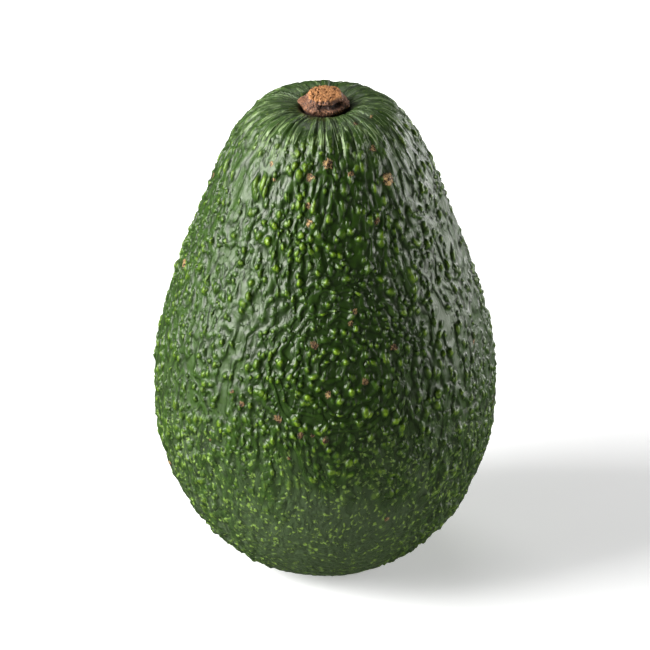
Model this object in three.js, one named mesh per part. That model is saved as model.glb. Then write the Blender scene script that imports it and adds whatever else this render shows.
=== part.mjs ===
// A whole avocado standing on a small flat spot, with the cut stub of its stalk seated in the crown.
// Sizes are in millimetres and +Z is up. The flat spot lies on z = 0 and the photographed side faces -Y.
import * as THREE from "three";

// The fruit's outline, from the flat spot up to the crown
const FOOT_RADIUS = 8;
const FOOT_ROUNDING = 12.6;
const BELLY_RADIUS = 34;
const BELLY_HEIGHT = 38.3;
const BELLY_ROUNDING_BELOW = 21.4;
const BELLY_ROUNDING_ABOVE = 15;
const SHOULDER_RADIUS = 24.2;
const SHOULDER_HEIGHT = 77.1;
const SHOULDER_LEAN = THREE.MathUtils.degToRad(19);
const SHOULDER_ROUNDING_BELOW = 15.2;
const SHOULDER_ROUNDING_ABOVE = 13.5;
const FRUIT_HEIGHT = 98.9;
const CREST_RADIUS = 8.5;
const CREST_ROUNDING_OUTSIDE = 7.3;
const CREST_ROUNDING_INSIDE = 2;

// The dished crown falls from its crest to the seat, where the stub stands in a hollow
const SEAT_HEIGHT = 97.9;
const HOLLOW_MOUTH_RADIUS = 5.1;
const HOLLOW_FLOOR_RADIUS = 4.2;
const HOLLOW_DEPTH = 1.4;

// The slow swells that keep the fruit from being perfectly round
const SWELL_SIZE = 0.12;
const SWELL_LENGTH = 41;
const WIDE_SWELLS = 2;
const NARROW_SWELLS = 3;

// The stub: its foot lies in the hollow, its sides flare out at the skin and narrow to the cut
const STUB_GAP = 0.3;
const STUB_FLARE_RADIUS = 4.6;
const STUB_FLARE_HEIGHT = 0.8;
const STUB_WAIST_RADIUS = 3.6;
const STUB_WAIST_HEIGHT = 1.8;
const STUB_CUT_RADIUS = 3.15;
const STUB_CUT_HEIGHT = 3;
const STUB_DOME = 0.2;
const STUB_CUT_TILT = THREE.MathUtils.degToRad(5);
const STUB_LOBE_SIZE = 0.025;
const STUB_WIDE_LOBES = 3;
const STUB_NARROW_LOBES = 5;
const STUB_TOOTH_SIZE = 0.5;
const STUB_TOOTH_WIDTH = 0.32;

// How finely each surface is divided
const FRUIT_DIVISIONS_AROUND = 72;
const STUB_DIVISIONS_AROUND = 40;
const OUTLINE_DIVISIONS = 10;
const STUB_OUTLINE_DIVISIONS = 4;

// Turns an outline of radius and height about the vertical axis
function turned(outline, divisionsAround) {
  const geometry = new THREE.LatheGeometry(outline, divisionsAround);
  geometry.rotateX(Math.PI / 2);
  return geometry;
}

// Moves every vertex by a rule that is given its radius, its angle about the axis and its height
function reshaped(geometry, rule) {
  const position = geometry.getAttribute("position");
  for (let i = 0; i < position.count; i += 1) {
    const radius = Math.hypot(position.getX(i), position.getY(i));
    const angle = Math.atan2(position.getY(i), position.getX(i));
    const moved = rule(radius, angle, position.getZ(i));
    position.setXYZ(i, moved.radius * Math.cos(angle), moved.radius * Math.sin(angle), moved.height);
  }
  geometry.computeVertexNormals();
  return geometry;
}

// The fruit's outline: flat spot, belly, leaning shoulder, dished crown and the hollow's floor
function fruitOutline() {
  const leanAcross = Math.sin(SHOULDER_LEAN);
  const leanUp = Math.cos(SHOULDER_LEAN);
  const outline = new THREE.Path();
  outline.moveTo(0, 0);
  outline.lineTo(FOOT_RADIUS, 0);
  outline.bezierCurveTo(
    FOOT_RADIUS + FOOT_ROUNDING, 0,
    BELLY_RADIUS, BELLY_HEIGHT - BELLY_ROUNDING_BELOW,
    BELLY_RADIUS, BELLY_HEIGHT,
  );
  outline.bezierCurveTo(
    BELLY_RADIUS, BELLY_HEIGHT + BELLY_ROUNDING_ABOVE,
    SHOULDER_RADIUS + SHOULDER_ROUNDING_BELOW * leanAcross,
    SHOULDER_HEIGHT - SHOULDER_ROUNDING_BELOW * leanUp,
    SHOULDER_RADIUS, SHOULDER_HEIGHT,
  );
  outline.bezierCurveTo(
    SHOULDER_RADIUS - SHOULDER_ROUNDING_ABOVE * leanAcross,
    SHOULDER_HEIGHT + SHOULDER_ROUNDING_ABOVE * leanUp,
    CREST_RADIUS + CREST_ROUNDING_OUTSIDE, FRUIT_HEIGHT,
    CREST_RADIUS, FRUIT_HEIGHT,
  );
  outline.quadraticCurveTo(
    CREST_RADIUS - CREST_ROUNDING_INSIDE, FRUIT_HEIGHT,
    HOLLOW_MOUTH_RADIUS, SEAT_HEIGHT,
  );
  outline.lineTo(HOLLOW_FLOOR_RADIUS, SEAT_HEIGHT - HOLLOW_DEPTH);
  outline.lineTo(0, SEAT_HEIGHT - HOLLOW_DEPTH);
  return outline.getPoints(OUTLINE_DIVISIONS);
}

// Swells the fruit's sides gently, leaving the flat spot and the crown as they are
function swollen(radius, angle, height) {
  const fade = Math.sin((Math.PI * height) / FRUIT_HEIGHT) ** 2;
  const twist = height / SWELL_LENGTH;
  const wide = Math.sin(WIDE_SWELLS * angle + twist);
  const narrow = Math.cos(NARROW_SWELLS * angle - twist);
  return { radius: radius + SWELL_SIZE * fade * (wide + narrow), height };
}

// The stub's outline: underside, flared skirt, waist and the domed cut
function stubOutline() {
  const underside = SEAT_HEIGHT - HOLLOW_DEPTH + STUB_GAP;
  const cutHeight = SEAT_HEIGHT + STUB_CUT_HEIGHT;
  const outline = new THREE.Path();
  outline.moveTo(0, underside);
  outline.lineTo(HOLLOW_FLOOR_RADIUS - 2 * STUB_GAP, underside);
  outline.lineTo(STUB_FLARE_RADIUS - STUB_GAP, SEAT_HEIGHT - STUB_GAP);
  outline.lineTo(STUB_FLARE_RADIUS, SEAT_HEIGHT + STUB_FLARE_HEIGHT);
  outline.quadraticCurveTo(
    STUB_WAIST_RADIUS, SEAT_HEIGHT + STUB_WAIST_HEIGHT,
    STUB_CUT_RADIUS, cutHeight,
  );
  outline.quadraticCurveTo(STUB_CUT_RADIUS / 2, cutHeight + STUB_DOME, 0, cutHeight + STUB_DOME);
  return outline.getPoints(STUB_OUTLINE_DIVISIONS);
}

// Makes the stub's sides lobed, draws out the tooth on its left and leans its cut towards the viewer
function torn(radius, angle, height) {
  const above = THREE.MathUtils.smoothstep(height, SEAT_HEIGHT, SEAT_HEIGHT + STUB_FLARE_HEIGHT);
  const lobes = Math.sin(STUB_WIDE_LOBES * angle) + Math.cos(STUB_NARROW_LOBES * angle);
  const fromTooth = (Math.PI - Math.abs(angle)) / STUB_TOOTH_WIDTH;
  const atSkirt = THREE.MathUtils.smoothstep(radius, STUB_CUT_RADIUS, STUB_FLARE_RADIUS);
  const tooth = STUB_TOOTH_SIZE * Math.exp(-fromTooth * fromTooth) * atSkirt;
  const lean = Math.tan(STUB_CUT_TILT) * radius * Math.sin(angle) * above;
  return {
    radius: radius + (STUB_LOBE_SIZE * radius * lobes + tooth) * above,
    height: height + lean,
  };
}

function piece(name, geometry, colour, roughness) {
  const material = new THREE.MeshStandardMaterial({ color: colour, roughness, metalness: 0 });
  const mesh = new THREE.Mesh(geometry, material);
  mesh.name = name;
  return mesh;
}

const fruit = reshaped(turned(fruitOutline(), FRUIT_DIVISIONS_AROUND), swollen);
const stub = reshaped(turned(stubOutline(), STUB_DIVISIONS_AROUND), torn);

const avocado = new THREE.Group();
avocado.name = "avocado";
avocado.add(piece("fruit", fruit, "#2f5a1e", 0.4));
avocado.add(piece("stem_button", stub, "#8a5630", 0.8));

export default avocado;
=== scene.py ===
import math
from collections import namedtuple

import bpy
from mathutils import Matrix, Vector


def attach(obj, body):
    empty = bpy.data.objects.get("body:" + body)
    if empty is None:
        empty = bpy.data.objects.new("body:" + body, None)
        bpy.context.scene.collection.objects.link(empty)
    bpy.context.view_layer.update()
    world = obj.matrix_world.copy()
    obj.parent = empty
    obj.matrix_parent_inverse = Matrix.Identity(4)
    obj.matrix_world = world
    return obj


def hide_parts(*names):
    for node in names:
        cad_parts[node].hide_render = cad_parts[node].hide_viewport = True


bl_info = {
    "name": "Avocado",
    "version": (1, 0, 0),
    "blender": (4, 5, 0),
    "location": "3D View > Sidebar > Avocado",
    "description": "Makes a whole avocado with pebbled skin and a cut woody stub, and a pale studio for it",
    "category": "Add Mesh",
}

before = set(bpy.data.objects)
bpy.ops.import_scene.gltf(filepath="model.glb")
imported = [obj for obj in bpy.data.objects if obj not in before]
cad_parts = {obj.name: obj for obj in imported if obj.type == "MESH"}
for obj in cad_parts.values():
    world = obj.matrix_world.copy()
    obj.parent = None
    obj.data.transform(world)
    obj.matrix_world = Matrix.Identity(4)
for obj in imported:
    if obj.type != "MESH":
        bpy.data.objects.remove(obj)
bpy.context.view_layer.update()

MM = 0.001

# The fruit's outline in millimetres, from the flat spot up to the hollow that the stub sits in
FOOT_RADIUS = 8.0
FOOT_ROUNDING = 12.6
BELLY_RADIUS = 34.0
BELLY_HEIGHT = 38.3
BELLY_ROUNDING_BELOW = 21.4
BELLY_ROUNDING_ABOVE = 15.0
SHOULDER_RADIUS = 24.2
SHOULDER_HEIGHT = 77.1
SHOULDER_LEAN = math.radians(19.0)
SHOULDER_ROUNDING_BELOW = 15.2
SHOULDER_ROUNDING_ABOVE = 13.5
CREST_RADIUS = 8.5
CREST_HEIGHT = 98.9
CREST_ROUNDING_OUTSIDE = 7.3
CREST_ROUNDING_INSIDE = 1.33
SEAT = 97.9
MOUTH_RADIUS = 4.75
HOLLOW_RADIUS = 4.1
HOLLOW_DEPTH = 1.4

# The stub's outline: radii, and heights above the seat, in millimetres
STUB_FOOT_RADIUS = 3.6
STUB_FOOT_HEIGHT = -1.1
STUB_NECK_RADIUS = 4.2
STUB_NECK_HEIGHT = -0.3
STUB_SKIRT_RADIUS = 4.5
STUB_SKIRT_HEIGHT = 0.7
STUB_WAIST_RADIUS = 3.75
STUB_WAIST_HEIGHT = 1.85
STUB_CUT_RADIUS = 3.2
STUB_CUT_HEIGHT = 2.9
STUB_TOP_HEIGHT = 3.15
STUB_CUT_TILT = math.radians(3.0)

# Steps in each stretch of an outline between two corners
OUTLINE_STEPS = 24

# The stub's undercut, right of the front, and the tooth on its left: heights above the seat, in millimetres
UNDERCUT_TOWARDS = (0.35, -0.94, 0.0)
UNDERCUT_HEIGHT = 1.6
UNDERCUT_DEPTH = 0.8
TOOTH_HEIGHT = 1.3

# How fast the skin's pattern runs up the side and over the crown, where the crown begins along the outline,
# and how far each seed moves the pattern, in millimetres
ALONG_SIDE = 0.82
ALONG_CROWN = 0.45
CROWN_BEGINS = 108.0
SEED_STEP = 37.0

# Higher up the fruit, the pattern is held open as on a wider one, so that it doesn't bunch up: in millimetres
HELD_OPEN_FROM = 55.0
HELD_OPEN_TO = 92.0
HELD_OPEN_BY = 8.0

# Sways of the pattern: the size of the slow noise that moves it, and how far, in millimetres
SLOW_SWAY = (12.0, 4.0)
PEBBLE_SWAY = (2.2, 1.0)
FINE_SWAY = (0.9, 0.35)
FOLD_SWAY = (5.0, 2.5)
FLECK_SWAY = (0.6, 0.9)
RIB_SWAY = (4.0, 0.8)
STREAK_SWAY = (1.5, 0.6)

# The edge between smooth and pebbled skin: its heights and how far it wanders, in millimetres
SMOOTH_BELOW = 23.0
PEBBLED_ABOVE = 52.0
EDGE_SWAY = 34.0

# Up at the stub the pebbles fade out and the ribs come in, between these heights in millimetres
PEBBLES_FADE_FROM = 93.0
PEBBLES_FADE_TO = 98.5
RIBS_FROM = 91.0
RIBS_TO = 98.0

# Pebbles by kind: cell width in millimetres, least and greatest radius in cell widths, share of the full
# height, and a shift that keeps the kinds apart
PebbleKind = namedtuple("PebbleKind", "cell least greatest height shift")
LARGE_PEBBLES = PebbleKind(1.85, 0.36, 0.60, 0.74, (0.0, 0.0, 0.0))
SMALL_PEBBLES = PebbleKind(1.4, 0.38, 0.62, 0.68, (31.0, 7.0, 13.0))
GRAINS = PebbleKind(0.95, 0.34, 0.56, 0.2, (5.0, 53.0, 29.0))
CORD_HEIGHT = 0.26
FLECK_CELL = 0.95

# Rings of pebbles on the photographed side: sine of the middle's angle from the front, and millimetres
RING_TURN = 0.06
RING_HEIGHT = 58.0
RING_SKIN_RADIUS = 32.0
RING_SPACING = 2.5
RING_SWAY = 6.0
RINGS_FADE_FROM = 15.0
RINGS_FADE_TO = 25.0

# Relief that the finishes add to the meshes' own, in millimetres
SKIN_RELIEF = {
    "pebbles": 0.6, "wrinkles": 0.05, "folds": 0.10, "creases": -0.05, "flecks": 0.13,
    "ribs": 0.2, "streaks": 0.12, "grain": 0.04, "crumb": 0.25,
}
STUB_RELIEF = {"fibres": 0.25, "grain": 0.12, "pores": -0.2}

# Fixed tints of the skin, its scabs and the stub, with the painted shade, shadow and highlight among them
SMOOTH_GREEN = (0.049, 0.070, 0.035)
# Painted shade for the gaps between the crowded pebbles
GAP_SHADE_GREEN = (0.008, 0.024, 0.001)
# Painted shade at the pebbles' feet
PEBBLE_FOOT_SHADE = (0.005, 0.014, 0.001)
# Painted highlight along the streaks at the crown
STREAK_HIGHLIGHT = (0.22, 0.31, 0.13)
# Painted shadow around the stub's seat
SEAT_SHADOW = (0.012, 0.014, 0.004)
SCAB_BARK = (0.17, 0.10, 0.035)
SCAB_CRACK = (0.03, 0.012, 0.007)
BARK_CRACK = (0.022, 0.008, 0.005)
BARK_GRAIN = (0.35, 0.155, 0.07)
CUT_GRAIN = (0.26, 0.10, 0.03)
CUT_PORE = (0.06, 0.02, 0.008)
# Painted shade in the stub's undercut and at its foot
UNDERCUT_SHADE = (0.014, 0.005, 0.003)

# The studio in metres, with each light's power as a share of the key power
FLOOR_HALF_WIDTH = 4.0
FLOOR_GLOW_FROM = 0.1
FLOOR_GLOW_TO = 0.45
FLOOR_LEAST_GLOW = 0.3
SURROUNDING_LIGHT = 0.025
LIGHT_AIM = (0.0, 0.0, 0.05)
SoftLight = namedtuple("SoftLight", "name place size share")
LIGHTS = (
    SoftLight("softbox_left", (-0.62, -0.15, 0.34), (0.45, 0.55), 1.7),
    SoftLight("strip_right", (0.56, 0.08, 0.10), (0.32, 0.20), 0.24),
    SoftLight("rim_right", (0.46, 0.44, 0.08), (0.35, 0.16), 0.2),
    SoftLight("softbox_top", (-0.05, 0.45, 0.70), (0.5, 0.3), 0.18),
)

# The camera's film and lens, in millimetres
FILM_WIDTH = 36.0
LENS_LENGTH = 210.4

# Brown scabs seen from the front: degrees about the axis, height and radius in millimetres
SCABS = (
    (-138, 98.1, 0.20), (-57, 98.6, 0.40), (-34, 98.6, 0.30), (-54, 95.2, 0.55), (-88, 93.9, 0.75),
    (-74, 92.0, 0.45), (-51, 89.8, 0.95), (-126, 92.7, 0.40), (-121, 90.2, 0.45), (-99, 91.6, 0.60),
    (-99, 86.8, 0.50), (-98, 83.8, 0.55), (-63, 83.2, 0.50), (-78, 67.8, 0.45), (-80, 65.7, 0.45),
    (-94, 62.0, 0.55), (-64, 60.2, 0.50), (-76, 54.7, 0.50), (-89, 52.7, 0.50), (-123, 50.8, 0.35),
    (-119, 48.9, 0.45), (-106, 47.3, 0.60), (-98, 44.5, 0.60), (-94, 44.5, 0.35), (-90, 43.5, 0.60),
    (-102, 39.4, 0.35), (-131, 39.0, 0.25), (-68, 23.5, 0.40),
)

# The far side's scabs are made up, a golden angle apart, and those between the two limits are left out.
# Heights and radii: the least, the spread, and the step from each scab to the next, in millimetres.
GOLDEN_ANGLE = 137.508
FAR_SCABS = 34
FAR_SCABS_END = 205.0
FAR_SCABS_BEGIN = 335.0
FAR_SCAB_HEIGHTS = (22.0, 74.0, 29.7)
FAR_SCAB_RADII = (0.35, 0.5, 0.37)

# How ragged a scab's edge is, and where it runs out, in the scab's radii
SCAB_RAGGEDNESS = 3.6
SCAB_INSIDE = 1.1
SCAB_OUTSIDE = 1.35


class Recipe:
    """Adds nodes to a geometry or material tree, so that a pattern reads as a formula."""

    def __init__(self, tree):
        self.tree = tree

    def node(self, kind, **settings):
        made = self.tree.nodes.new(kind)
        for name, value in settings.items():
            setattr(made, name, value)
        return made

    def feed(self, socket, value):
        if isinstance(value, bpy.types.NodeSocket):
            self.tree.links.new(value, socket)
        else:
            socket.default_value = value

    def math(self, operation, *terms):
        made = self.node("ShaderNodeMath", operation=operation)
        for socket, term in zip(made.inputs, terms):
            self.feed(socket, term)
        return made.outputs[0]

    def add(self, a, b):
        return self.math("ADD", a, b)

    def times(self, a, b):
        return self.math("MULTIPLY", a, b)

    def most(self, a, b):
        return self.math("MAXIMUM", a, b)

    def vector(self, operation, *terms):
        made = self.node("ShaderNodeVectorMath", operation=operation)
        for socket, term in zip(made.inputs, terms):
            self.feed(socket, term)
        return made.outputs["Value" if operation in {"LENGTH", "DOT_PRODUCT"} else "Vector"]

    def split(self, vector):
        made = self.node("ShaderNodeSeparateXYZ")
        self.feed(made.inputs[0], vector)
        return made.outputs

    def join(self, x, y, z):
        made = self.node("ShaderNodeCombineXYZ")
        for socket, term in zip(made.inputs, (x, y, z)):
            self.feed(socket, term)
        return made.outputs[0]

    def ramp(self, value, low, high, to_low=0.0, to_high=1.0):
        """Runs from to_low at low to to_high at high, and stays there beyond."""
        made = self.node("ShaderNodeMapRange", interpolation_type="SMOOTHSTEP")
        terms = {"Value": value, "From Min": low, "From Max": high, "To Min": to_low, "To Max": to_high}
        for name, term in terms.items():
            self.feed(made.inputs[name], term)
        return made.outputs[0]

    def between(self, factor, a, b):
        made = self.node("ShaderNodeMix", data_type="FLOAT")
        for index, term in zip((0, 2, 3), (factor, a, b)):
            self.feed(made.inputs[index], term)
        return made.outputs[0]

    def tint(self, factor, a, b):
        made = self.node("ShaderNodeMix", data_type="RGBA")
        for index, term in zip((0, 6, 7), (factor, a, b)):
            self.feed(made.inputs[index], term)
        return made.outputs[2]

    def noise(self, vector, scale, detail=2.0, roughness=0.5, coloured=False):
        made = self.node("ShaderNodeTexNoise")
        terms = {"Vector": vector, "Scale": scale, "Detail": detail, "Roughness": roughness}
        for name, term in terms.items():
            self.feed(made.inputs[name], term)
        return made.outputs[1 if coloured else 0]

    def cells(self, vector, size):
        """Distance to the nearest cell centre, in cell sizes, and three chance numbers of that cell."""
        made = self.node("ShaderNodeTexVoronoi")
        self.feed(made.inputs["Vector"], vector)
        self.feed(made.inputs["Scale"], 1 / size)
        return made.outputs["Distance"], self.split(made.outputs["Color"])

    def cords(self, field, width):
        """1 along the lines where a noise crosses its middle, and 0 from width away."""
        return self.ramp(self.math("ABSOLUTE", self.add(field, -0.5)), width, 0.0)

    def seams(self, field, width):
        """0 along those lines, and 1 from width away."""
        return self.ramp(self.math("ABSOLUTE", self.add(field, -0.5)), 0.0, width)

    def swayed(self, vector, size, reach):
        """Moves a pattern's coordinates by slow noise, by up to about half of reach."""
        moved = self.vector("SUBTRACT", self.noise(vector, 1 / size, 1.0, coloured=True), (0.5, 0.5, 0.5))
        return self.vector("ADD", vector, self.vector("MULTIPLY", moved, (reach, reach, reach)))

    def stretched(self, vector, along):
        return self.vector("MULTIPLY", vector, (1.0, 1.0, along))


def pebble_bed(r, vector, kind, fullness):
    """Domes of one kind of pebble, 0 to 1. fullness is the share of the cells that hold one."""
    distance, chance = r.cells(r.vector("ADD", vector, kind.shift), kind.cell)
    reach = r.between(chance[0], kind.least, kind.greatest)
    dome = r.ramp(distance, reach, r.times(reach, 0.3))
    present = r.ramp(chance[1], fullness, r.add(fullness, -0.06))
    return r.times(r.times(dome, present), r.between(chance[2], 0.6, 1.0))


def pebble_rings(r, flow, around, rise):
    """Rings about one point of the photographed side: how strongly they show, and their crests."""
    x, y, _ = r.split(around)
    across = r.times(r.add(x, -RING_TURN), RING_SKIN_RADIUS)
    up = r.add(rise, -RING_HEIGHT)
    out = r.math("SQRT", r.add(r.times(across, across), r.times(up, up)))
    out = r.add(out, r.times(r.noise(flow, 0.22, 1.0), RING_SWAY))
    crests = r.ramp(r.math("PINGPONG", out, RING_SPACING / 2), 0.4, 1.1)
    return r.times(r.ramp(out, RINGS_FADE_TO, RINGS_FADE_FROM), r.ramp(y, -0.5, -0.8)), crests


def skin_pattern(r, flow, around, rise):
    """The skin's own relief, as fields from 0 to 1, and the coordinates that the flecks follow. flow runs
    across and along the fruit, around is the direction from the axis, and rise is the height."""
    x, y, _ = r.split(around)
    wandering = r.swayed(flow, *SLOW_SWAY)
    uneven = r.swayed(r.swayed(wandering, *PEBBLE_SWAY), *FINE_SWAY)

    # The front is calmer low down and more crowded with pebbles higher up
    edge = r.add(rise, r.times(r.add(r.noise(flow, 0.12, 3.0, 0.6), -0.5), EDGE_SWAY))
    upper = r.ramp(edge, SMOOTH_BELOW, PEBBLED_ABOVE)
    restless = r.ramp(y, -0.97, -0.7, 0.4, 1.0)
    drift = r.times(r.add(r.noise(flow, 0.1, 1.0), -0.5), 0.5)
    crowded = r.ramp(r.add(y, drift), -0.72, -0.94)
    away_from_stub = r.ramp(rise, PEBBLES_FADE_TO, PEBBLES_FADE_FROM, 0.15, 1.0)
    pebbled = r.times(r.between(upper, r.times(restless, 0.5), 1.0), away_from_stub)

    # Cords join the pebbles in lines, and rings take their place on the front
    ringed, rings = pebble_rings(r, flow, around, rise)
    cords = r.cords(r.noise(r.stretched(uneven, 0.4), 0.3, 1.0), 0.13)
    cords = r.between(r.times(ringed, 0.85), cords, rings)

    # Calm patches have few pebbles
    calm = r.ramp(r.noise(r.stretched(flow, 0.6), 0.09, 1.0), 0.46, 0.58)
    calm = r.times(calm, r.math("SUBTRACT", 1.0, r.most(crowded, ringed)))
    fullness = r.add(r.between(crowded, 0.75, 1.0), r.add(r.times(ringed, -0.45), r.times(calm, -0.4)))
    large = pebble_bed(r, uneven, LARGE_PEBBLES, r.between(cords, fullness, 1.1))
    small = pebble_bed(r, uneven, SMALL_PEBBLES, r.between(calm, 0.93, 0.15))
    grains = pebble_bed(r, uneven, GRAINS, r.between(calm, 0.55, 0.1))
    large = r.add(r.times(large, LARGE_PEBBLES.height), r.times(cords, CORD_HEIGHT))
    pebbles = r.most(large, r.times(small, SMALL_PEBBLES.height))
    pebbles = r.most(pebbles, r.times(grains, GRAINS.height))

    # The fan closes to a point at the stub, so that what follows it runs there
    fan = r.join(r.times(x, 6.5), r.times(y, 6.5), r.times(r.split(flow)[2], 0.1))
    return {
        "pebbles": pebbles,
        "pebbled": pebbled,
        "upper": upper,
        "restless": restless,
        "crowded": crowded,
        "wrinkles": r.noise(r.stretched(wandering, 0.5), 0.42, 2.0, 0.5),
        "ridges": r.seams(r.noise(r.stretched(r.swayed(flow, *FOLD_SWAY), 0.4), 0.42, 2.0, 0.5), 0.16),
        "creases": r.cords(r.noise(r.stretched(uneven, 0.45), 0.55, 1.0), 0.03),
        "ribs": r.seams(r.noise(r.swayed(fan, *RIB_SWAY), 1.0, 1.0, 0.4), 0.13),
        "streaks": r.cords(r.noise(r.swayed(fan, *STREAK_SWAY), 2.2, 1.0, 0.5), 0.06),
        "near_stub": r.ramp(rise, RIBS_FROM, RIBS_TO),
        "wandering": wandering,
    }


def flecks(r, vector):
    """Small raised light specks, 0 to 1, as they lie over the smooth lower skin."""
    torn = r.swayed(vector, *FLECK_SWAY)
    distance, chance = r.cells(r.stretched(torn, 0.85), FLECK_CELL)
    present = r.ramp(chance[1], 0.55, 0.51)
    reach = r.between(chance[0], 0.22, 0.5)
    dots = r.times(r.ramp(distance, reach, r.times(reach, 0.4)), present)
    blots = r.ramp(r.noise(r.stretched(torn, 0.8), 1.15, 1.0, 0.5), 0.63, 0.71)
    return r.most(dots, blots)


# Settings that a user would change


def length_setting(name, description, millimetres):
    return bpy.props.FloatProperty(
        name=name, description=description, default=millimetres * MM, min=0.0, precision=5,
        unit="LENGTH", subtype="DISTANCE",
    )


def colour_setting(name, description, default):
    return bpy.props.FloatVectorProperty(
        name=name, description=description, default=default, size=3, min=0.0, max=1.0, subtype="COLOR",
    )


class AvocadoSkinSettings(bpy.types.PropertyGroup):
    divisions: bpy.props.IntProperty(
        name="Divisions", description="Faces along each edge of the cube that the skin is rounded from",
        default=128, min=16, max=128,
    )
    pebble_height: length_setting("Pebble Height", "How far the pebbles stand above the valleys", 0.85)
    wrinkle_height: length_setting("Wrinkle Height", "Depth of the soft wrinkles all over the skin", 0.14)
    fold_height: length_setting("Fold Height", "Depth of the long folds that run down the lower skin", 0.6)
    rib_height: length_setting("Rib Height", "Depth of the ribs that run together at the stub", 0.3)
    swell_height: length_setting("Swell Height", "Depth of the slow lumps in the fruit's sides", 1.0)
    seed: bpy.props.IntProperty(
        name="Seed", description="Picks another pattern of pebbles", default=3, min=0,
    )
    valley_colour: colour_setting("Valley Colour", "Green of the skin between pebbles", (0.023, 0.056, 0.005))
    crest_colour: colour_setting("Crest Colour", "Yellow-green of the pebbles' tops", (0.14, 0.24, 0.006))
    flank_colour: colour_setting("Flank Colour", "Deep green of the pebbles' sides", (0.022, 0.060, 0.002))
    fleck_colour: colour_setting("Fleck Colour", "Light green of the small specks", (0.175, 0.285, 0.04))
    scab_colour: colour_setting("Scab Colour", "Tan of the dry corky spots", (0.36, 0.23, 0.09))
    roughness: bpy.props.FloatProperty(
        name="Roughness", description="How dull the waxy skin is",
        default=0.38, min=0.0, max=1.0, subtype="FACTOR",
    )


class AvocadoStubSettings(bpy.types.PropertyGroup):
    divisions: bpy.props.IntProperty(
        name="Divisions", description="Faces along each edge of the cube that the stub is rounded from",
        default=64, min=8, max=128,
    )
    bark_depth: length_setting("Bark Depth", "Depth of the fibres and pits in the stub's sides", 0.35)
    tooth_length: length_setting("Tooth Length", "How far the torn tooth reaches out on the left", 0.7)
    cut_colour: colour_setting("Cut Colour", "Orange-brown of the cut end", (0.50, 0.225, 0.072))
    bark_colour: colour_setting("Bark Colour", "Purple-brown of the stub's sides", (0.14, 0.057, 0.027))


class AvocadoStudioSettings(bpy.types.PropertyGroup):
    camera_elevation: bpy.props.FloatProperty(
        name="Camera Elevation", description="Angle of the view above the horizon",
        default=math.radians(28.0), unit="ROTATION", subtype="ANGLE",
    )
    camera_distance: length_setting("Camera Distance", "From the camera to the middle of the fruit", 750.0)
    aim_height: length_setting("Aim Height", "Height of the point in the middle of the picture", 50.6)
    key_power: bpy.props.FloatProperty(
        name="Key Power", description="Power that the lights' powers are shares of",
        default=9.0, min=0.0, unit="POWER",
    )
    floor_colour: colour_setting("Floor Colour", "Colour of the pale floor", (0.86, 0.86, 0.86))


# Geometry


def corner(radius, height, before=None, after=None):
    """A corner of an outline and its two handles, given as steps from it. None is for a straight side."""
    handles = [step and (radius + step[0], height + step[1]) for step in (before, after)]
    return (radius, height), *handles


def outline_curve(name, corners):
    """A Bezier curve through the corners, in the XZ plane."""
    curve = bpy.data.curves.new(name, "CURVE")
    curve.dimensions = "3D"
    curve.resolution_u = OUTLINE_STEPS
    spline = curve.splines.new("BEZIER")
    spline.bezier_points.add(len(corners) - 1)
    for point, (place, before, after) in zip(spline.bezier_points, corners):
        point.co = (place[0] * MM, 0.0, place[1] * MM)
        for side, handle in (("left", before), ("right", after)):
            if handle is None:
                setattr(point, f"handle_{side}_type", "VECTOR")
            else:
                setattr(point, f"handle_{side}_type", "FREE")
                setattr(point, f"handle_{side}", (handle[0] * MM, 0.0, handle[1] * MM))
    made = bpy.data.objects.new(name, curve)
    bpy.context.collection.objects.link(made)
    return made


def side_corners():
    """The fruit's side, from the flat spot's edge up to the crest."""
    below, above = (
        (length * math.sin(SHOULDER_LEAN), -length * math.cos(SHOULDER_LEAN))
        for length in (SHOULDER_ROUNDING_BELOW, -SHOULDER_ROUNDING_ABOVE)
    )
    return (
        corner(FOOT_RADIUS, 0, None, (FOOT_ROUNDING, 0)),
        corner(BELLY_RADIUS, BELLY_HEIGHT, (0, -BELLY_ROUNDING_BELOW), (0, BELLY_ROUNDING_ABOVE)),
        corner(SHOULDER_RADIUS, SHOULDER_HEIGHT, below, above),
        corner(CREST_RADIUS, CREST_HEIGHT, (CREST_ROUNDING_OUTSIDE, 0), (-CREST_ROUNDING_INSIDE, 0)),
    )


def fruit_outline():
    floor = SEAT - HOLLOW_DEPTH
    return outline_curve("skin_outline", (
        corner(0, 0),
        *side_corners(),
        corner(MOUTH_RADIUS, SEAT - 0.15, (0.95, 0.75), (-0.15, -0.15)),
        corner(HOLLOW_RADIUS, floor, (0.25, 0.2)),
        corner(0, floor),
    ))


def stub_outline():
    return outline_curve("stub_outline", (
        corner(0, SEAT + STUB_FOOT_HEIGHT),
        corner(STUB_FOOT_RADIUS, SEAT + STUB_FOOT_HEIGHT, None, (0.3, 0)),
        corner(STUB_NECK_RADIUS, SEAT + STUB_NECK_HEIGHT, (-0.1, -0.4), (0.1, 0.3)),
        corner(STUB_SKIRT_RADIUS, SEAT + STUB_SKIRT_HEIGHT, (-0.05, -0.3), (0.05, 0.35)),
        corner(STUB_WAIST_RADIUS, SEAT + STUB_WAIST_HEIGHT, (0.35, -0.25), (-0.25, 0.2)),
        corner(STUB_CUT_RADIUS, SEAT + STUB_CUT_HEIGHT, (0.1, -0.3), (-0.1, 0.2)),
        corner(0, SEAT + STUB_TOP_HEIGHT, (STUB_CUT_RADIUS - 1.0, 0)),
    ))


def new_tree(name, sockets):
    """A geometry tree with the named inputs and a Geometry output."""
    tree = bpy.data.node_groups.new(name, "GeometryNodeTree")
    for label, socket_type, value in sockets:
        socket = tree.interface.new_socket(label, in_out="INPUT", socket_type=socket_type)
        if value is not None:
            socket.default_value = value
    tree.interface.new_socket("Geometry", in_out="OUTPUT", socket_type="NodeSocketGeometry")
    return tree


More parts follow.
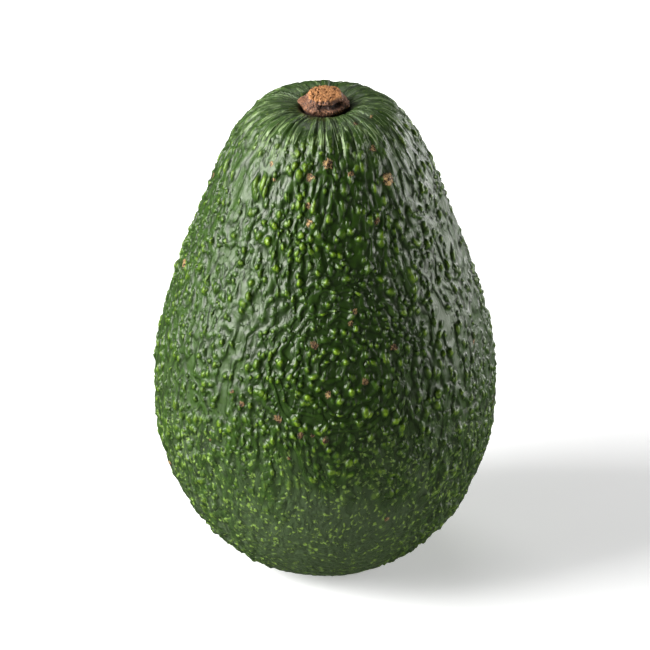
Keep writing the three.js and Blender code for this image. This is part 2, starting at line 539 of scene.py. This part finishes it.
def turned_surface(r, outline, divisions):
    """Rounds a divided cube onto the outline turned about the vertical axis, so that no seam or pole is open.
    The mesh keeps its direction and radius as toward, its height as rise and its outline's length as arc."""
    cube = r.node("GeometryNodeMeshCube")
    r.feed(cube.inputs["Size"], (2.0, 2.0, 2.0))
    for axis in ("X", "Y", "Z"):
        r.feed(cube.inputs[f"Vertices {axis}"], r.add(divisions, 1))
    place = r.node("GeometryNodeInputPosition").outputs[0]
    quarter = math.pi / 4
    even = r.vector("TANGENT", r.vector("MULTIPLY", place, (quarter, quarter, quarter)))
    toward = r.vector("NORMALIZE", even)
    x, y, z = r.split(toward)
    share = r.math("DIVIDE", r.math("ARCCOSINE", r.times(z, -1.0)), math.pi)
    source = r.node("GeometryNodeObjectInfo")
    r.feed(source.inputs["Object"], outline)
    on_curve = r.node("GeometryNodeSampleCurve", mode="FACTOR", use_all_curves=True)
    r.feed(on_curve.inputs["Curves"], source.outputs["Geometry"])
    r.feed(on_curve.inputs["Factor"], share)
    radius, _, height = r.split(on_curve.outputs["Position"])
    around = r.vector("NORMALIZE", r.join(x, y, 0.0))
    x, y, _ = r.split(around)
    length = r.node("GeometryNodeCurveLength")
    r.feed(length.inputs[0], source.outputs["Geometry"])
    arc = r.times(share, length.outputs[0])
    mesh = keep(r, cube.outputs["Mesh"], "toward", r.join(x, y, radius), "FLOAT_VECTOR")
    mesh = keep(r, mesh, "rise", r.math("DIVIDE", height, MM))
    mesh = keep(r, mesh, "arc", r.math("DIVIDE", arc, MM))
    mesh = keep(r, mesh, "OFBake", unwrapped(r, place), "FLOAT2", "CORNER")
    setter = r.node("GeometryNodeSetPosition")
    r.feed(setter.inputs["Geometry"], mesh)
    r.feed(setter.inputs["Position"], r.join(r.times(x, radius), r.times(y, radius), height))
    return setter.outputs[0]


def unwrapped(r, place):
    """The six faces of the divided cube, laid out in three columns and two rows and none of them mirrored."""
    facing = r.node("GeometryNodeFieldOnDomain", data_type="FLOAT_VECTOR", domain="FACE")
    r.feed(facing.inputs[0], r.node("GeometryNodeInputNormal").outputs[0])
    facing = facing.outputs[0]
    nx, ny, nz = r.split(facing)
    _, side, flat = r.split(r.vector("ABSOLUTE", facing))
    x, y, z = r.split(place)
    across = r.add(r.times(nx, y), r.times(x, r.math("SUBTRACT", nz, ny)))
    along = r.between(flat, z, y)
    column = r.add(side, r.times(flat, 2.0))
    row = r.times(r.add(r.add(r.add(nx, ny), nz), 1.0), 0.5)
    # Each face fills nearly half of its cell to either side
    reach = 0.49
    return r.join(
        r.times(r.add(r.add(column, 0.5), r.times(across, reach)), 1 / 3),
        r.times(r.add(r.add(row, 0.5), r.times(along, reach)), 1 / 2),
        0.0,
    )


def stored(r, label, kind="FLOAT"):
    made = r.node("GeometryNodeInputNamedAttribute", data_type=kind)
    r.feed(made.inputs["Name"], label)
    return made.outputs["Attribute"]


def keep(r, mesh, label, field, kind="FLOAT", domain="POINT"):
    made = r.node("GeometryNodeStoreNamedAttribute", data_type=kind, domain=domain)
    r.feed(made.inputs["Geometry"], mesh)
    r.feed(made.inputs["Name"], label)
    r.feed(made.inputs["Value"], field)
    return made.outputs[0]


def scab_distance(r, places):
    """Distance to the nearest scab's middle, in that scab's radii."""
    scabs = r.node("GeometryNodeObjectInfo")
    r.feed(scabs.inputs["Object"], places)
    nearest = r.node("GeometryNodeProximity", target_element="POINTS")
    which = r.node("GeometryNodeSampleNearest", domain="POINT")
    radius = r.node("GeometryNodeSampleIndex", data_type="FLOAT", domain="POINT")
    for lookup in (nearest, which, radius):
        r.feed(lookup.inputs["Geometry"], scabs.outputs["Geometry"])
    r.feed(radius.inputs["Value"], stored(r, "scab_radius"))
    r.feed(radius.inputs["Index"], which.outputs[0])
    return r.math("DIVIDE", nearest.outputs["Distance"], radius.outputs[0])


def skin_tree():
    tree = new_tree("Avocado Skin", (
        ("Outline", "NodeSocketObject", None),
        ("Scab Places", "NodeSocketObject", None),
        ("Divisions", "NodeSocketInt", 128),
        ("Pebble Height", "NodeSocketFloat", 0.0),
        ("Wrinkle Height", "NodeSocketFloat", 0.0),
        ("Fold Height", "NodeSocketFloat", 0.0),
        ("Rib Height", "NodeSocketFloat", 0.0),
        ("Swell Height", "NodeSocketFloat", 0.0),
        ("Seed", "NodeSocketInt", 0),
        ("Finish", "NodeSocketMaterial", None),
    ))
    r = Recipe(tree)
    given = r.node("NodeGroupInput").outputs
    mesh = turned_surface(r, given["Outline"], given["Divisions"])

    x, y, radius = r.split(stored(r, "toward", "FLOAT_VECTOR"))
    rise, arc = stored(r, "rise"), stored(r, "arc")
    radius = r.math("DIVIDE", radius, MM)
    held = r.ramp(rise, HELD_OPEN_FROM, HELD_OPEN_TO, 0.0, HELD_OPEN_BY)
    spread = r.math("SQRT", r.add(r.times(radius, radius), r.times(held, held)))
    over_crown = r.times(r.most(r.add(arc, -CROWN_BEGINS), 0.0), ALONG_CROWN - ALONG_SIDE)
    offset = r.times(given["Seed"], SEED_STEP)
    flow = r.join(
        r.add(r.times(x, spread), offset),
        r.add(r.times(y, spread), offset),
        r.add(r.times(arc, ALONG_SIDE), over_crown),
    )
    mesh = keep(r, mesh, "flow", flow, "FLOAT_VECTOR")
    mesh = keep(r, mesh, "scab", scab_distance(r, given["Scab Places"]))

    flow = stored(r, "flow", "FLOAT_VECTOR")
    rise = stored(r, "rise")
    skin = skin_pattern(r, flow, stored(r, "toward", "FLOAT_VECTOR"), rise)
    pebbles = r.times(r.times(r.add(skin["pebbles"], -0.5), skin["pebbled"]), given["Pebble Height"])
    lower = r.math("SUBTRACT", 1.0, skin["upper"])
    creased = r.times(skin["restless"], skin["restless"])
    folds = r.times(r.add(skin["ridges"], -0.5), r.between(lower, 0.18, creased))
    folds = r.times(folds, given["Fold Height"])
    wrinkles = r.times(r.add(skin["wrinkles"], -0.5), given["Wrinkle Height"])
    ribs = r.times(r.times(r.add(skin["ribs"], -0.5), skin["near_stub"]), given["Rib Height"])
    swells = r.times(r.add(r.noise(flow, 0.06, 1.0), -0.5), given["Swell Height"])
    height = r.add(r.add(pebbles, r.add(wrinkles, folds)), r.add(ribs, swells))
    # The flat spot and the hollow's mouth stay as they are
    off_spot = r.ramp(stored(r, "arc"), FOOT_RADIUS, FOOT_RADIUS + 6.0)
    off_mouth = r.ramp(radius, MOUTH_RADIUS + 0.45, MOUTH_RADIUS + 1.85)
    height = r.times(height, r.times(off_spot, off_mouth))
    move = r.node("GeometryNodeSetPosition")
    r.feed(move.inputs["Geometry"], mesh)
    normal = r.node("GeometryNodeInputNormal").outputs[0]
    r.feed(move.inputs["Offset"], r.vector("MULTIPLY", normal, r.join(height, height, height)))
    mesh = move.outputs[0]
    ground = r.node("GeometryNodeSetPosition")
    r.feed(ground.inputs["Geometry"], mesh)
    x, y, z = r.split(r.node("GeometryNodeInputPosition").outputs[0])
    r.feed(ground.inputs["Position"], r.join(x, y, r.most(z, 0.0)))
    finish_tree(r, ground.outputs[0], given["Finish"])
    return tree


def finish_tree(r, mesh, material):
    """Shades the mesh smooth, gives it its material and ends the tree."""
    smooth = r.node("GeometryNodeSetShadeSmooth")
    r.feed(smooth.inputs["Geometry"], mesh)
    whole = r.node("GeometryNodeRealizeInstances")
    r.feed(whole.inputs[0], smooth.outputs[0])
    dressed = r.node("GeometryNodeSetMaterial")
    r.feed(dressed.inputs["Geometry"], whole.outputs[0])
    r.feed(dressed.inputs["Material"], material)
    r.tree.links.new(dressed.outputs[0], r.node("NodeGroupOutput").inputs[0])


def stub_tree():
    tree = new_tree("Avocado Stub", (
        ("Outline", "NodeSocketObject", None),
        ("Divisions", "NodeSocketInt", 64),
        ("Bark Depth", "NodeSocketFloat", 0.0),
        ("Tooth Length", "NodeSocketFloat", 0.0),
        ("Finish", "NodeSocketMaterial", None),
    ))
    r = Recipe(tree)
    given = r.node("NodeGroupInput").outputs
    mesh = turned_surface(r, given["Outline"], given["Divisions"])
    x, y, radius = r.split(stored(r, "toward", "FLOAT_VECTOR"))
    radius = r.math("DIVIDE", radius, MM)
    high = r.add(stored(r, "rise"), -SEAT)
    place = r.vector("DIVIDE", r.node("GeometryNodeInputPosition").outputs[0], (MM, MM, MM))
    above = r.ramp(high, 0.0, 0.6)
    side = r.times(above, r.ramp(radius, 1.5, 3.2))
    # Uneven skirt, deep fibres down the sides and small pits in the cut
    lumps = r.add(r.noise(r.stretched(place, 0.5), 0.5, 1.0), -0.5)
    fibres = r.add(r.noise(r.stretched(place, 0.3), 2.0, 3.0, 0.6), -0.5)
    pits = r.ramp(r.noise(place, 1.3, 1.0, 0.5), 0.42, 0.32)
    # A hollow under the cut's front edge, right of the middle
    front = r.ramp(r.vector("DOT_PRODUCT", r.join(x, y, 0.0), UNDERCUT_TOWARDS), 0.66, 0.93)
    belt = r.ramp(r.math("ABSOLUTE", r.add(high, -UNDERCUT_HEIGHT)), 0.55, 0.2)
    undercut = r.times(r.times(front, belt), -UNDERCUT_DEPTH)
    # The pointed tooth on the left
    left = r.ramp(x, -0.9, -1.0)
    tip = r.ramp(r.math("ABSOLUTE", r.add(high, -TOOTH_HEIGHT)), 0.7, 0.0)
    tooth = r.times(r.times(r.times(left, tip), given["Tooth Length"]), 1 / MM)
    depth = r.math("DIVIDE", given["Bark Depth"], MM)
    rough = r.times(r.add(r.times(lumps, 4.5), r.times(fibres, 2.2)), depth)
    outward = r.times(r.add(r.add(rough, undercut), tooth), side)
    top = r.ramp(high, 2.5, 3.0)
    lift = r.times(r.add(r.times(pits, -0.45), r.times(fibres, 0.3)), top)
    tilt = r.times(r.times(r.times(y, radius), math.tan(STUB_CUT_TILT)), r.ramp(high, 0.8, 2.4))
    offset = r.join(r.times(x, outward), r.times(y, outward), r.add(lift, tilt))
    move = r.node("GeometryNodeSetPosition")
    r.feed(move.inputs["Geometry"], mesh)
    r.feed(move.inputs["Offset"], r.vector("MULTIPLY", offset, (MM, MM, MM)))
    finish_tree(r, move.outputs[0], given["Finish"])
    return tree


def grown(name, tree, values):
    """Runs a geometry tree on an empty mesh and keeps the result as a plain mesh object of that name."""
    seed_mesh = bpy.data.meshes.new(f"{name}_seed")
    carrier = bpy.data.objects.new(f"{name}_seed", seed_mesh)
    bpy.context.collection.objects.link(carrier)
    modifier = carrier.modifiers.new(tree.name, "NODES")
    modifier.node_group = tree
    for item in tree.interface.items_tree:
        if item.in_out == "INPUT" and item.name in values:
            modifier[item.identifier] = values[item.name]
    bpy.context.view_layer.update()
    depsgraph = bpy.context.evaluated_depsgraph_get()
    evaluated = carrier.evaluated_get(depsgraph)
    mesh = bpy.data.meshes.new_from_object(evaluated, preserve_all_data_layers=True, depsgraph=depsgraph)
    if not mesh.polygons:
        raise RuntimeError(f"{name} came out empty")
    mesh.name = name
    bpy.data.objects.remove(carrier)
    bpy.data.meshes.remove(seed_mesh)
    made = bpy.data.objects.new(name, mesh)
    bpy.context.collection.objects.link(made)
    return made


def stepped(i, least, spread, step):
    """The value number i of a row that climbs in even steps, and starts again past the spread."""
    return least + (i * step) % spread


def scab_points():
    """A mesh of loose points where the scabs lie, each with its radius."""
    spots = list(SCABS)
    for i in range(FAR_SCABS):
        angle = (i * GOLDEN_ANGLE) % 360.0
        if not FAR_SCABS_END < angle < FAR_SCABS_BEGIN:
            spots.append((angle, stepped(i, *FAR_SCAB_HEIGHTS), stepped(i, *FAR_SCAB_RADII)))
    outline = side_points()
    mesh = bpy.data.meshes.new("scab_places")
    places = []
    for angle, height, _ in spots:
        radius = radius_at(outline, height)
        turn = math.radians(angle)
        places.append((radius * math.cos(turn) * MM, radius * math.sin(turn) * MM, height * MM))
    mesh.from_pydata(places, [], [])
    sizes = mesh.attributes.new("scab_radius", "FLOAT", "POINT")
    sizes.data.foreach_set("value", [size * MM for _, _, size in spots])
    made = bpy.data.objects.new("scab_places", mesh)
    bpy.context.collection.objects.link(made)
    return made


def side_points(steps=32):
    """The fruit's side as (radius, height) pairs in millimetres, from the flat spot up to the crest."""
    corners = side_corners()
    points = []
    for (begin, _, leave), (end, arrive, _) in zip(corners, corners[1:]):
        for i in range(steps + 1):
            t = i / steps
            weights = ((1 - t) ** 3, 3 * (1 - t) ** 2 * t, 3 * (1 - t) * t**2, t**3)
            spots = (begin, leave, arrive, end)
            points.append(tuple(sum(w * spot[k] for w, spot in zip(weights, spots)) for k in range(2)))
    return points


def radius_at(outline, height):
    """The radius of an outline of (radius, height) pairs at one height."""
    for (low_radius, low), (high_radius, high) in zip(outline, outline[1:]):
        if low <= height <= high and high > low:
            share = (height - low) / (high - low)
            return low_radius + share * (high_radius - low_radius)
    return outline[-1][0]


# Finishes


def new_material(name):
    material = bpy.data.materials.new(name)
    material.use_nodes = True
    material.node_tree.nodes.clear()
    return material, Recipe(material.node_tree)


def attribute(r, label, output="Vector"):
    made = r.node("ShaderNodeAttribute", attribute_type="GEOMETRY", attribute_name=label)
    return made.outputs[output]


def finish_with(r, colour, roughness, height, **fixed):
    """Puts a Principled surface at the tree's end. height is the bump in metres."""
    shader = r.node("ShaderNodeBsdfPrincipled")
    bump = r.node("ShaderNodeBump")
    r.feed(bump.inputs["Strength"], 1.0)
    r.feed(bump.inputs["Distance"], 1.0)
    r.feed(bump.inputs["Height"], height)
    r.feed(shader.inputs["Base Color"], colour)
    r.feed(shader.inputs["Roughness"], roughness)
    r.feed(shader.inputs["Normal"], bump.outputs[0])
    for label, value in fixed.items():
        shader.inputs[label.replace("_", " ")].default_value = value
    r.tree.links.new(shader.outputs[0], r.node("ShaderNodeOutputMaterial").inputs[0])


def opaque(colour, share=1.0):
    """A colour socket's value, with the colour brought down or up to a share of itself."""
    return (*(part * share for part in colour[:3]), 1.0)


def layered(r, heights, fields):
    """The sum of the named fields, each times its height in millimetres."""
    total = 0.0
    for name, field in fields.items():
        total = r.add(total, r.times(field, heights[name]))
    return total


def skin_finish(settings):
    material, r = new_material("avocado_skin")
    flow = attribute(r, "flow")
    rise = attribute(r, "rise", "Fac")
    skin = skin_pattern(r, flow, attribute(r, "toward"), rise)
    pebbles, upper, near_stub = skin["pebbles"], skin["upper"], skin["near_stub"]
    lower = r.math("SUBTRACT", 1.0, upper)
    mottle = r.noise(flow, 0.35, 3.0, 0.6)
    fine = r.noise(flow, 2.6, 3.0, 0.6)

    # Between the pebbles, with painted shade in the gaps on the crowded front, then painted shade at their
    # feet and their steep sides, then their tops: partly their own yellow-green and partly a painted
    # highlight, brighter on the front
    shown = r.ramp(skin["pebbled"], 0.1, 0.7)
    colour = r.tint(mottle, opaque(settings.valley_colour, 0.5), opaque(settings.valley_colour, 1.4))
    colour = r.tint(r.times(lower, 0.7), colour, opaque(SMOOTH_GREEN))
    # Painted shade: the gaps between the crowded pebbles higher up on the front are darkened
    colour = r.tint(r.times(r.times(skin["crowded"], upper), 0.55), colour, opaque(GAP_SHADE_GREEN))
    side = r.times(r.ramp(pebbles, 0.08, 0.25), shown)
    colour = r.tint(r.times(side, 0.8), colour, opaque(settings.flank_colour))
    # Painted shade: a dark ring at each pebble's foot
    foot_shade = r.times(r.times(r.ramp(pebbles, 0.0, 0.08), r.ramp(pebbles, 0.32, 0.12)), shown)
    colour = r.tint(r.times(foot_shade, 0.75), colour, opaque(PEBBLE_FOOT_SHADE))
    # The tops' yellow-green is partly their own tint and partly a painted highlight; it varies at random and
    # is brighter on the front as painted light
    ripe_and_front_lit = r.ramp(r.noise(flow, 0.45, 2.0), 0.36, 0.6, 0.35, 1.0)
    ripe_and_front_lit = r.times(ripe_and_front_lit, r.between(skin["crowded"], 0.7, 1.0))
    crest = r.times(r.times(r.ramp(pebbles, 0.4, 0.75), shown), ripe_and_front_lit)
    crest = r.times(crest, r.ramp(fine, 0.3, 0.65, 0.45, 1.0))
    colour = r.tint(crest, colour, opaque(settings.crest_colour))
    # Painted shade along the creases
    colour = r.tint(r.times(skin["creases"], 0.25), colour, opaque(settings.valley_colour, 0.35))

    # Painted shade in the ribs' grooves, painted highlights along the streaks and a painted shadow ring at
    # the stub, and flecks over the smooth skin
    # Painted shade in the ribs' grooves
    rib_groove_shade = r.times(r.ramp(skin["ribs"], 0.5, 0.0), near_stub)
    colour = r.tint(r.times(rib_groove_shade, 0.5), colour, opaque(settings.valley_colour, 0.4))
    # Painted highlights along the streaks, which also stand up as relief
    streak_relief_and_highlight = r.times(r.times(skin["streaks"], near_stub), r.ramp(mottle, 0.40, 0.55))
    colour = r.tint(r.times(streak_relief_and_highlight, 0.85), colour, opaque(STREAK_HIGHLIGHT))
    flecked = r.times(flecks(r, skin["wandering"]), r.add(lower, r.times(near_stub, 0.35)))
    colour = r.tint(r.times(flecked, 0.85), colour, opaque(settings.fleck_colour))
    across = r.math("DIVIDE", r.split(attribute(r, "toward"))[2], MM)
    # Painted shadow in a ring at the hollow's mouth and down into it, where the stub sits
    seat = r.ramp(across, MOUTH_RADIUS + 0.85, MOUTH_RADIUS + 0.15)
    seat = r.times(seat, r.ramp(rise, SHOULDER_HEIGHT, SEAT - HOLLOW_DEPTH))
    colour = r.tint(r.times(seat, 0.8), colour, opaque(SEAT_SHADOW))

    # Ragged corky scabs
    ragged = r.times(r.add(r.noise(flow, 1.0, 3.0, 0.75), -0.5), SCAB_RAGGEDNESS)
    scab = r.ramp(r.add(attribute(r, "scab", "Fac"), ragged), SCAB_OUTSIDE, SCAB_INSIDE)
    crumb = r.noise(flow, 2.6, 2.0, 0.7)
    dry = r.ramp(r.noise(flow, 0.12, 0.0), 0.42, 0.56)
    cork = r.tint(dry, opaque(SCAB_BARK), opaque(settings.scab_colour))
    cork = r.tint(r.ramp(crumb, 0.44, 0.56), opaque(SCAB_CRACK), cork)
    colour = r.tint(scab, colour, cork)

    roughness = r.add(settings.roughness, r.times(mottle, 0.12))
    roughness = r.add(roughness, r.times(skin["crowded"], -0.08))
    roughness = r.between(scab, roughness, 0.75)
    height = layered(r, SKIN_RELIEF, {
        "pebbles": r.times(pebbles, skin["pebbled"]),
        "wrinkles": skin["wrinkles"],
        "folds": r.times(skin["ridges"], r.between(lower, 0.2, 1.0)),
        "creases": r.times(skin["creases"], r.between(near_stub, 1.0, 0.2)),
        "flecks": flecked,
        "ribs": r.times(skin["ribs"], near_stub),
        "streaks": streak_relief_and_highlight,
        "grain": fine,
        "crumb": r.times(crumb, scab),
    })
    finish_with(
        r, colour, roughness, r.times(height, MM),
        Coat_Weight=0.06, Coat_Roughness=0.25, IOR=1.45, Specular_Tint=(0.96, 1.0, 0.87, 1.0),
    )
    return material


def stub_finish(settings):
    material, r = new_material("stub_wood")
    place = r.vector("DIVIDE", r.node("ShaderNodeTexCoord").outputs["Object"], (MM, MM, MM))
    x, y, z = r.split(place)
    high = r.add(z, -SEAT)
    uneven = r.noise(place, 1.1, 3.0, 0.6)
    cut = r.ramp(r.add(high, r.times(r.add(uneven, -0.5), 1.1)), 2.4, 2.7)
    fibres = r.noise(r.stretched(place, 0.3), 2.0, 3.0, 0.6)
    grain = r.noise(r.stretched(place, 0.45), 4.5, 3.0, 0.65)
    pores = r.ramp(r.noise(place, 1.3, 1.0, 0.5), 0.41, 0.33)
    specks = r.noise(place, 5.0, 2.0, 0.6)
    bark = r.tint(r.ramp(fibres, 0.36, 0.58), opaque(BARK_CRACK), opaque(settings.bark_colour))
    bark = r.tint(r.ramp(grain, 0.48, 0.62), bark, opaque(BARK_GRAIN))
    wood = r.tint(r.ramp(specks, 0.36, 0.62), opaque(CUT_GRAIN), opaque(settings.cut_colour))
    wood = r.tint(r.times(pores, 0.9), wood, opaque(CUT_PORE))
    colour = r.tint(cut, bark, wood)
    x, y, _ = r.split(r.vector("NORMALIZE", r.join(x, y, 0.0)))
    # Painted shade in the undercut under the cut's front edge and over the stub's foot, down in the hollow
    front = r.ramp(r.vector("DOT_PRODUCT", r.join(x, y, 0.0), UNDERCUT_TOWARDS), 0.62, 0.85)
    belt = r.ramp(r.math("ABSOLUTE", r.add(high, 0.05 - UNDERCUT_HEIGHT)), 0.5, 0.25)
    undercut_and_foot_shade = r.most(r.times(front, belt), r.ramp(high, 0.4, -0.05))
    colour = r.tint(r.times(undercut_and_foot_shade, 0.85), colour, opaque(UNDERCUT_SHADE))
    height = layered(r, STUB_RELIEF, {"fibres": fibres, "grain": grain, "pores": pores})
    finish_with(r, colour, 0.72, r.times(height, MM))
    return material


# Operators


class AVOCADO_OT_make_skin(bpy.types.Operator):
    """Grow the pebbled skin over the fruit's solid"""

    bl_idname = "avocado.make_skin"
    bl_label = "Make Skin"

    def execute(self, context):
        settings = context.scene.avocado_skin
        outline, places = fruit_outline(), scab_points()
        skin = grown("avocado_skin", skin_tree(), {
            "Outline": outline,
            "Scab Places": places,
            "Divisions": settings.divisions,
            "Pebble Height": settings.pebble_height,
            "Wrinkle Height": settings.wrinkle_height,
            "Fold Height": settings.fold_height,
            "Rib Height": settings.rib_height,
            "Swell Height": settings.swell_height,
            "Seed": settings.seed,
            "Finish": skin_finish(settings),
        })
        for guide in (outline, places):
            bpy.data.objects.remove(guide)
        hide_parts("fruit")
        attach(skin, "root")
        return {"FINISHED"}


class AVOCADO_OT_make_stub(bpy.types.Operator):
    """Grow the cut woody stub in the crown's hollow"""

    bl_idname = "avocado.make_stub"
    bl_label = "Make Stub"

    def execute(self, context):
        settings = context.scene.avocado_stub
        outline = stub_outline()
        stub = grown("avocado_stub", stub_tree(), {
            "Outline": outline,
            "Divisions": settings.divisions,
            "Bark Depth": settings.bark_depth,
            "Tooth Length": settings.tooth_length,
            "Finish": stub_finish(settings),
        })
        bpy.data.objects.remove(outline)
        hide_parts("stem_button")
        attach(stub, "root")
        return {"FINISHED"}


def soft_light(light, key_power):
    lamp = bpy.data.lights.new(light.name, "AREA")
    lamp.shape = "RECTANGLE"
    lamp.size, lamp.size_y = light.size
    lamp.energy = key_power * light.share
    made = bpy.data.objects.new(light.name, lamp)
    made.location = light.place
    made.rotation_euler = (Vector(LIGHT_AIM) - Vector(light.place)).to_track_quat("-Z", "Y").to_euler()
    made.visible_camera = False
    bpy.context.collection.objects.link(made)


def lay_floor(settings):
    """A wide pale floor that glows more with distance, so that no edge shows against the white around it."""
    half = FLOOR_HALF_WIDTH
    mesh = bpy.data.meshes.new("studio_floor")
    corners = [(-half, -half, 0.0), (half, -half, 0.0), (half, half, 0.0), (-half, half, 0.0)]
    mesh.from_pydata(corners, [], [(0, 1, 2, 3)])
    floor = bpy.data.objects.new("studio_floor", mesh)
    bpy.context.collection.objects.link(floor)
    material, r = new_material("pale_floor")
    shader = r.node("ShaderNodeBsdfPrincipled")
    shader.inputs["Base Color"].default_value = opaque(settings.floor_colour)
    shader.inputs["Roughness"].default_value = 0.9
    shader.inputs["Emission Color"].default_value = (1.0, 1.0, 1.0, 1.0)
    away = r.vector("LENGTH", r.node("ShaderNodeTexCoord").outputs["Object"])
    glow = r.ramp(away, FLOOR_GLOW_FROM, FLOOR_GLOW_TO, FLOOR_LEAST_GLOW, 1.0)
    r.feed(shader.inputs["Emission Strength"], glow)
    r.tree.links.new(shader.outputs[0], r.node("ShaderNodeOutputMaterial").inputs[0])
    mesh.materials.append(material)
    floor.visible_glossy = False


def surround(scene):
    """White to the camera and nearly dark to everything else, so that the lights alone shape the fruit."""
    world = bpy.data.worlds.new("studio")
    world.use_nodes = True
    sky = Recipe(world.node_tree)
    background = world.node_tree.nodes["Background"]
    background.inputs["Color"].default_value = (1.0, 1.0, 1.0, 1.0)
    seen = sky.node("ShaderNodeLightPath").outputs["Is Camera Ray"]
    sky.feed(background.inputs["Strength"], sky.between(seen, SURROUNDING_LIGHT, 1.0))
    scene.world = world
    scene.view_settings.view_transform = "Standard"


def set_camera(scene, settings):
    camera = bpy.data.cameras.new("studio_camera")
    camera.sensor_width = FILM_WIDTH
    camera.lens = LENS_LENGTH
    camera.clip_start, camera.clip_end = 0.01, 20.0
    holder = bpy.data.objects.new("studio_camera", camera)
    rise = settings.camera_elevation
    aim = Vector((0.0, 0.0, settings.aim_height))
    back = Vector((0.0, -math.cos(rise), math.sin(rise)))
    holder.location = aim + back * settings.camera_distance
    holder.rotation_euler = (-back).to_track_quat("-Z", "Y").to_euler()
    bpy.context.collection.objects.link(holder)
    scene.camera = holder


class AVOCADO_OT_make_studio(bpy.types.Operator):
    """Lay the pale floor and set the lights and the camera"""

    bl_idname = "avocado.make_studio"
    bl_label = "Make Studio"

    def execute(self, context):
        settings = context.scene.avocado_studio
        lay_floor(settings)
        surround(context.scene)
        for light in LIGHTS:
            soft_light(light, settings.key_power)
        set_camera(context.scene, settings)
        return {"FINISHED"}


class AVOCADO_PT_sidebar(bpy.types.Panel):
    """Lists the avocado's settings and the buttons that make it"""

    bl_idname = "AVOCADO_PT_sidebar"
    bl_label = "Avocado"
    bl_space_type = "VIEW_3D"
    bl_region_type = "UI"
    bl_category = "Avocado"

    def draw(self, context):
        for name, operator in (
            ("avocado_skin", AVOCADO_OT_make_skin),
            ("avocado_stub", AVOCADO_OT_make_stub),
            ("avocado_studio", AVOCADO_OT_make_studio),
        ):
            box = self.layout.box()
            settings = getattr(context.scene, name)
            for label in settings.__annotations__:
                box.prop(settings, label)
            box.operator(operator.bl_idname)


SETTINGS = (
    ("avocado_skin", AvocadoSkinSettings),
    ("avocado_stub", AvocadoStubSettings),
    ("avocado_studio", AvocadoStudioSettings),
)
CLASSES = (AVOCADO_OT_make_skin, AVOCADO_OT_make_stub, AVOCADO_OT_make_studio, AVOCADO_PT_sidebar)


def register():
    for name, group in SETTINGS:
        bpy.utils.register_class(group)
        setattr(bpy.types.Scene, name, bpy.props.PointerProperty(type=group))
    for made in CLASSES:
        bpy.utils.register_class(made)


def unregister():
    for made in reversed(CLASSES):
        bpy.utils.unregister_class(made)
    for name, group in reversed(SETTINGS):
        delattr(bpy.types.Scene, name)
        bpy.utils.unregister_class(group)


def main():
    register()
    bpy.ops.avocado.make_skin()
    bpy.ops.avocado.make_stub()
    bpy.ops.avocado.make_studio()


if __name__ == "__main__":
    main()
